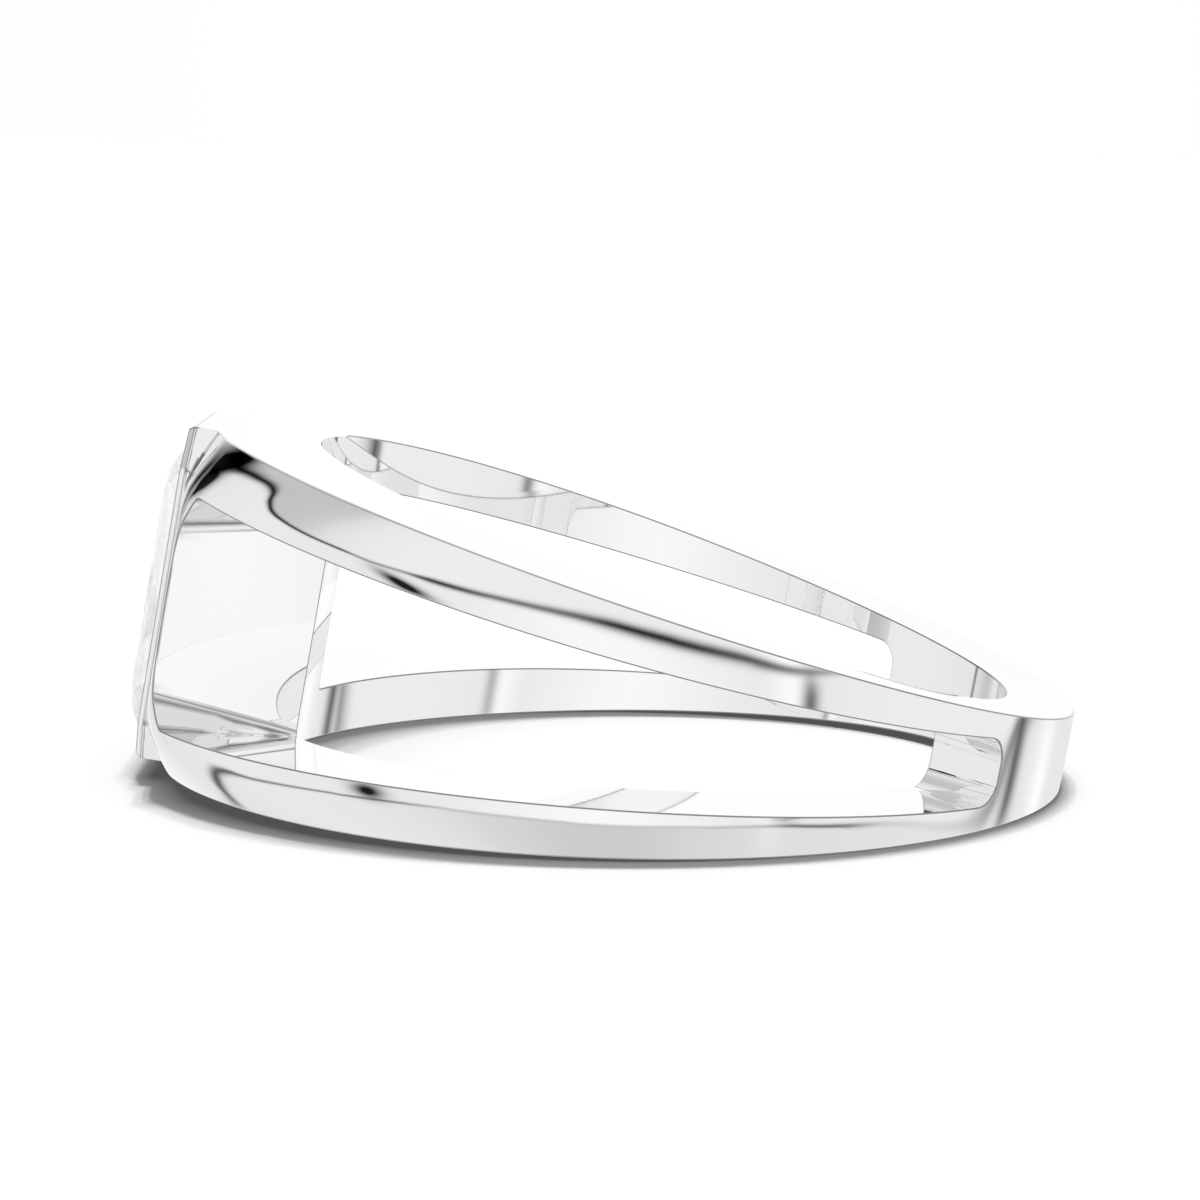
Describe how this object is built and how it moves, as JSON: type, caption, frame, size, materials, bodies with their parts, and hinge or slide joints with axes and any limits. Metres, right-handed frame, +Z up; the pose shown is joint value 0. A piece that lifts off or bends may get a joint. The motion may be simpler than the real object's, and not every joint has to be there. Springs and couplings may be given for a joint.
{
  "type": "split shank finger ring",
  "caption": "Finger ring in polished white metal: its domed shank splits into rails that carry a box head with a clear step-cut stone.",
  "frame": {"origin": "middle of the ring's bounding box, on the surface that the ring lies on", "axes": "+Z is up from that surface, -X is towards the stone, +Y runs across the shank; the finger's axis leans 9.28 degrees from +Z towards +X"},
  "size_m": [0.0222, 0.0224, 0.0083],
  "materials": {
    "white_metal": "polished",
    "clear_stone": "faceted, polished"
  },
  "bodies": {
    "root": {"split_shank_setting": "white_metal", "stone": "clear_stone"}
  },
  "joints": []
}
